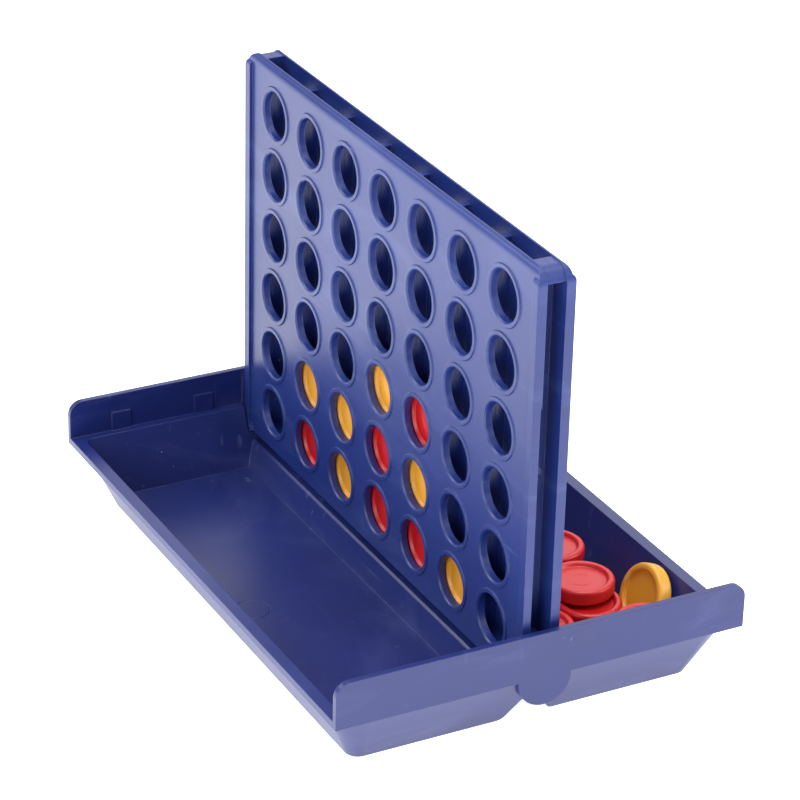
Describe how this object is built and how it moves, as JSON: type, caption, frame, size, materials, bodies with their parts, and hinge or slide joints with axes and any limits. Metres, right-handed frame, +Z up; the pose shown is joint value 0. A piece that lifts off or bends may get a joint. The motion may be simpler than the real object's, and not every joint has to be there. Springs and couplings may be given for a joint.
{
  "type": "four in a row frame",
  "caption": "Travel four in a row game: blue tray with wells, an upright perforated grid that folds down on end pins, and red and yellow game discs.",
  "frame": {"origin": "centre of the tray's footprint, on the ground", "axes": "+Z up, +X along the row of columns, +Y towards the well that holds the loose discs"},
  "size_m": [0.1864, 0.13, 0.1405],
  "materials": {
    "tray_plastic": "moulded blue plastic with a soft sheen",
    "grid_plastic": "moulded blue plastic with a soft sheen",
    "pin_plastic": "moulded blue plastic, turned smooth",
    "disc_red": "moulded red plastic, lightly worn",
    "disc_yellow": "moulded yellow plastic, lightly worn"
  },
  "bodies": {
    "base": {"base_tray": "tray_plastic"},
    "pivots": {"pivot_pin_left": "pin_plastic", "pivot_pin_right": "pin_plastic"},
    "grid": {"grid_front_shell": "grid_plastic", "grid_back_shell": "grid_plastic"},
    "grid_disc_c2_r1_red": {"grid_disc_c2_r1_red": "disc_red"},
    "grid_disc_c2_r2_yellow": {"grid_disc_c2_r2_yellow": "disc_yellow"},
    "grid_disc_c3_r1_yellow": {"grid_disc_c3_r1_yellow": "disc_yellow"},
    "grid_disc_c3_r2_yellow": {"grid_disc_c3_r2_yellow": "disc_yellow"},
    "grid_disc_c4_r1_red": {"grid_disc_c4_r1_red": "disc_red"},
    "grid_disc_c4_r2_red": {"grid_disc_c4_r2_red": "disc_red"},
    "grid_disc_c4_r3_yellow": {"grid_disc_c4_r3_yellow": "disc_yellow"},
    "grid_disc_c5_r1_red": {"grid_disc_c5_r1_red": "disc_red"},
    "grid_disc_c5_r2_yellow": {"grid_disc_c5_r2_yellow": "disc_yellow"},
    "grid_disc_c5_r3_red": {"grid_disc_c5_r3_red": "disc_red"},
    "grid_disc_c6_r1_yellow": {"grid_disc_c6_r1_yellow": "disc_yellow"},
    "loose_disc_a1_red": {"loose_disc_a1_red": "disc_red"},
    "loose_disc_a2_yellow": {"loose_disc_a2_yellow": "disc_yellow"},
    "loose_disc_a3_red": {"loose_disc_a3_red": "disc_red"},
    "loose_disc_b1_red": {"loose_disc_b1_red": "disc_red"},
    "loose_disc_b2_red": {"loose_disc_b2_red": "disc_red"},
    "loose_disc_b3_red": {"loose_disc_b3_red": "disc_red"},
    "loose_disc_c1_red": {"loose_disc_c1_red": "disc_red"},
    "loose_disc_c2_red": {"loose_disc_c2_red": "disc_red"},
    "loose_disc_d1_yellow": {"loose_disc_d1_yellow": "disc_yellow"},
    "loose_disc_e1_yellow": {"loose_disc_e1_yellow": "disc_yellow"},
    "loose_disc_e2_red": {"loose_disc_e2_red": "disc_red"},
    "loose_disc_e3_red": {"loose_disc_e3_red": "disc_red"}
  },
  "joints": [
    {"name": "grid_fold", "type": "hinge", "parent": "base", "child": "pivots", "pos_m": [0, 0, 0.02581], "axis": [1, 0, 0], "range_deg": [0, 90]},
    {"name": "grid_lift_off_pins", "type": "slide", "parent": "pivots", "child": "grid", "axis": [0, 0, 1], "range_m": [0, 0.0165]},
    {"name": "grid_disc_c2_r1_lift", "type": "slide", "parent": "grid", "child": "grid_disc_c2_r1_red", "axis": [0, 0, 1], "range_m": [0, 0.1287]},
    {"name": "grid_disc_c2_r2_lift", "type": "slide", "parent": "grid_disc_c2_r1_red", "child": "grid_disc_c2_r2_yellow", "axis": [0, 0, 1], "range_m": [0, 0.1087]},
    {"name": "grid_disc_c3_r1_lift", "type": "slide", "parent": "grid", "child": "grid_disc_c3_r1_yellow", "axis": [0, 0, 1], "range_m": [0, 0.1287]},
    {"name": "grid_disc_c3_r2_lift", "type": "slide", "parent": "grid_disc_c3_r1_yellow", "child": "grid_disc_c3_r2_yellow", "axis": [0, 0, 1], "range_m": [0, 0.1087]},
    {"name": "grid_disc_c4_r1_lift", "type": "slide", "parent": "grid", "child": "grid_disc_c4_r1_red", "axis": [0, 0, 1], "range_m": [0, 0.1287]},
    {"name": "grid_disc_c4_r2_lift", "type": "slide", "parent": "grid_disc_c4_r1_red", "child": "grid_disc_c4_r2_red", "axis": [0, 0, 1], "range_m": [0, 0.1087]},
    {"name": "grid_disc_c4_r3_lift", "type": "slide", "parent": "grid_disc_c4_r2_red", "child": "grid_disc_c4_r3_yellow", "axis": [0, 0, 1], "range_m": [0, 0.0887]},
    {"name": "grid_disc_c5_r1_lift", "type": "slide", "parent": "grid", "child": "grid_disc_c5_r1_red", "axis": [0, 0, 1], "range_m": [0, 0.1287]},
    {"name": "grid_disc_c5_r2_lift", "type": "slide", "parent": "grid_disc_c5_r1_red", "child": "grid_disc_c5_r2_yellow", "axis": [0, 0, 1], "range_m": [0, 0.1087]},
    {"name": "grid_disc_c5_r3_lift", "type": "slide", "parent": "grid_disc_c5_r2_yellow", "child": "grid_disc_c5_r3_red", "axis": [0, 0, 1], "range_m": [0, 0.0887]},
    {"name": "grid_disc_c6_r1_lift", "type": "slide", "parent": "grid", "child": "grid_disc_c6_r1_yellow", "axis": [0, 0, 1], "range_m": [0, 0.1287]},
    {"name": "loose_disc_a1_lift", "type": "slide", "parent": "base", "child": "loose_disc_a1_red", "axis": [0, 0, 1], "range_m": [0, 0.03]},
    {"name": "loose_disc_a2_lift", "type": "slide", "parent": "loose_disc_a1_red", "child": "loose_disc_a2_yellow", "axis": [0, 0, 1], "range_m": [0, 0.03]},
    {"name": "loose_disc_a3_lift", "type": "slide", "parent": "loose_disc_a2_yellow", "child": "loose_disc_a3_red", "axis": [0, 0, 1], "range_m": [0, 0.03]},
    {"name": "loose_disc_b1_lift", "type": "slide", "parent": "base", "child": "loose_disc_b1_red", "axis": [0, 0, 1], "range_m": [0, 0.03]},
    {"name": "loose_disc_b2_lift", "type": "slide", "parent": "loose_disc_b1_red", "child": "loose_disc_b2_red", "axis": [0, 0, 1], "range_m": [0, 0.03]},
    {"name": "loose_disc_b3_lift", "type": "slide", "parent": "loose_disc_b2_red", "child": "loose_disc_b3_red", "axis": [0, 0, 1], "range_m": [0, 0.03]},
    {"name": "loose_disc_c1_lift", "type": "slide", "parent": "base", "child": "loose_disc_c1_red", "axis": [0, 0, 1], "range_m": [0, 0.03]},
    {"name": "loose_disc_c2_lift", "type": "slide", "parent": "loose_disc_c1_red", "child": "loose_disc_c2_red", "axis": [0, 0, 1], "range_m": [0, 0.03]},
    {"name": "loose_disc_d1_lift", "type": "slide", "parent": "base", "child": "loose_disc_d1_yellow", "axis": [0, 0, 1], "range_m": [0, 0.03]},
    {"name": "loose_disc_e1_lift", "type": "slide", "parent": "base", "child": "loose_disc_e1_yellow", "axis": [0, 0, 1], "range_m": [0, 0.03]},
    {"name": "loose_disc_e2_lift", "type": "slide", "parent": "loose_disc_e1_yellow", "child": "loose_disc_e2_red", "axis": [0, 0, 1], "range_m": [0, 0.03]},
    {"name": "loose_disc_e3_lift", "type": "slide", "parent": "loose_disc_e2_red", "child": "loose_disc_e3_red", "axis": [0, 0, 1], "range_m": [0, 0.03]}
  ]
}
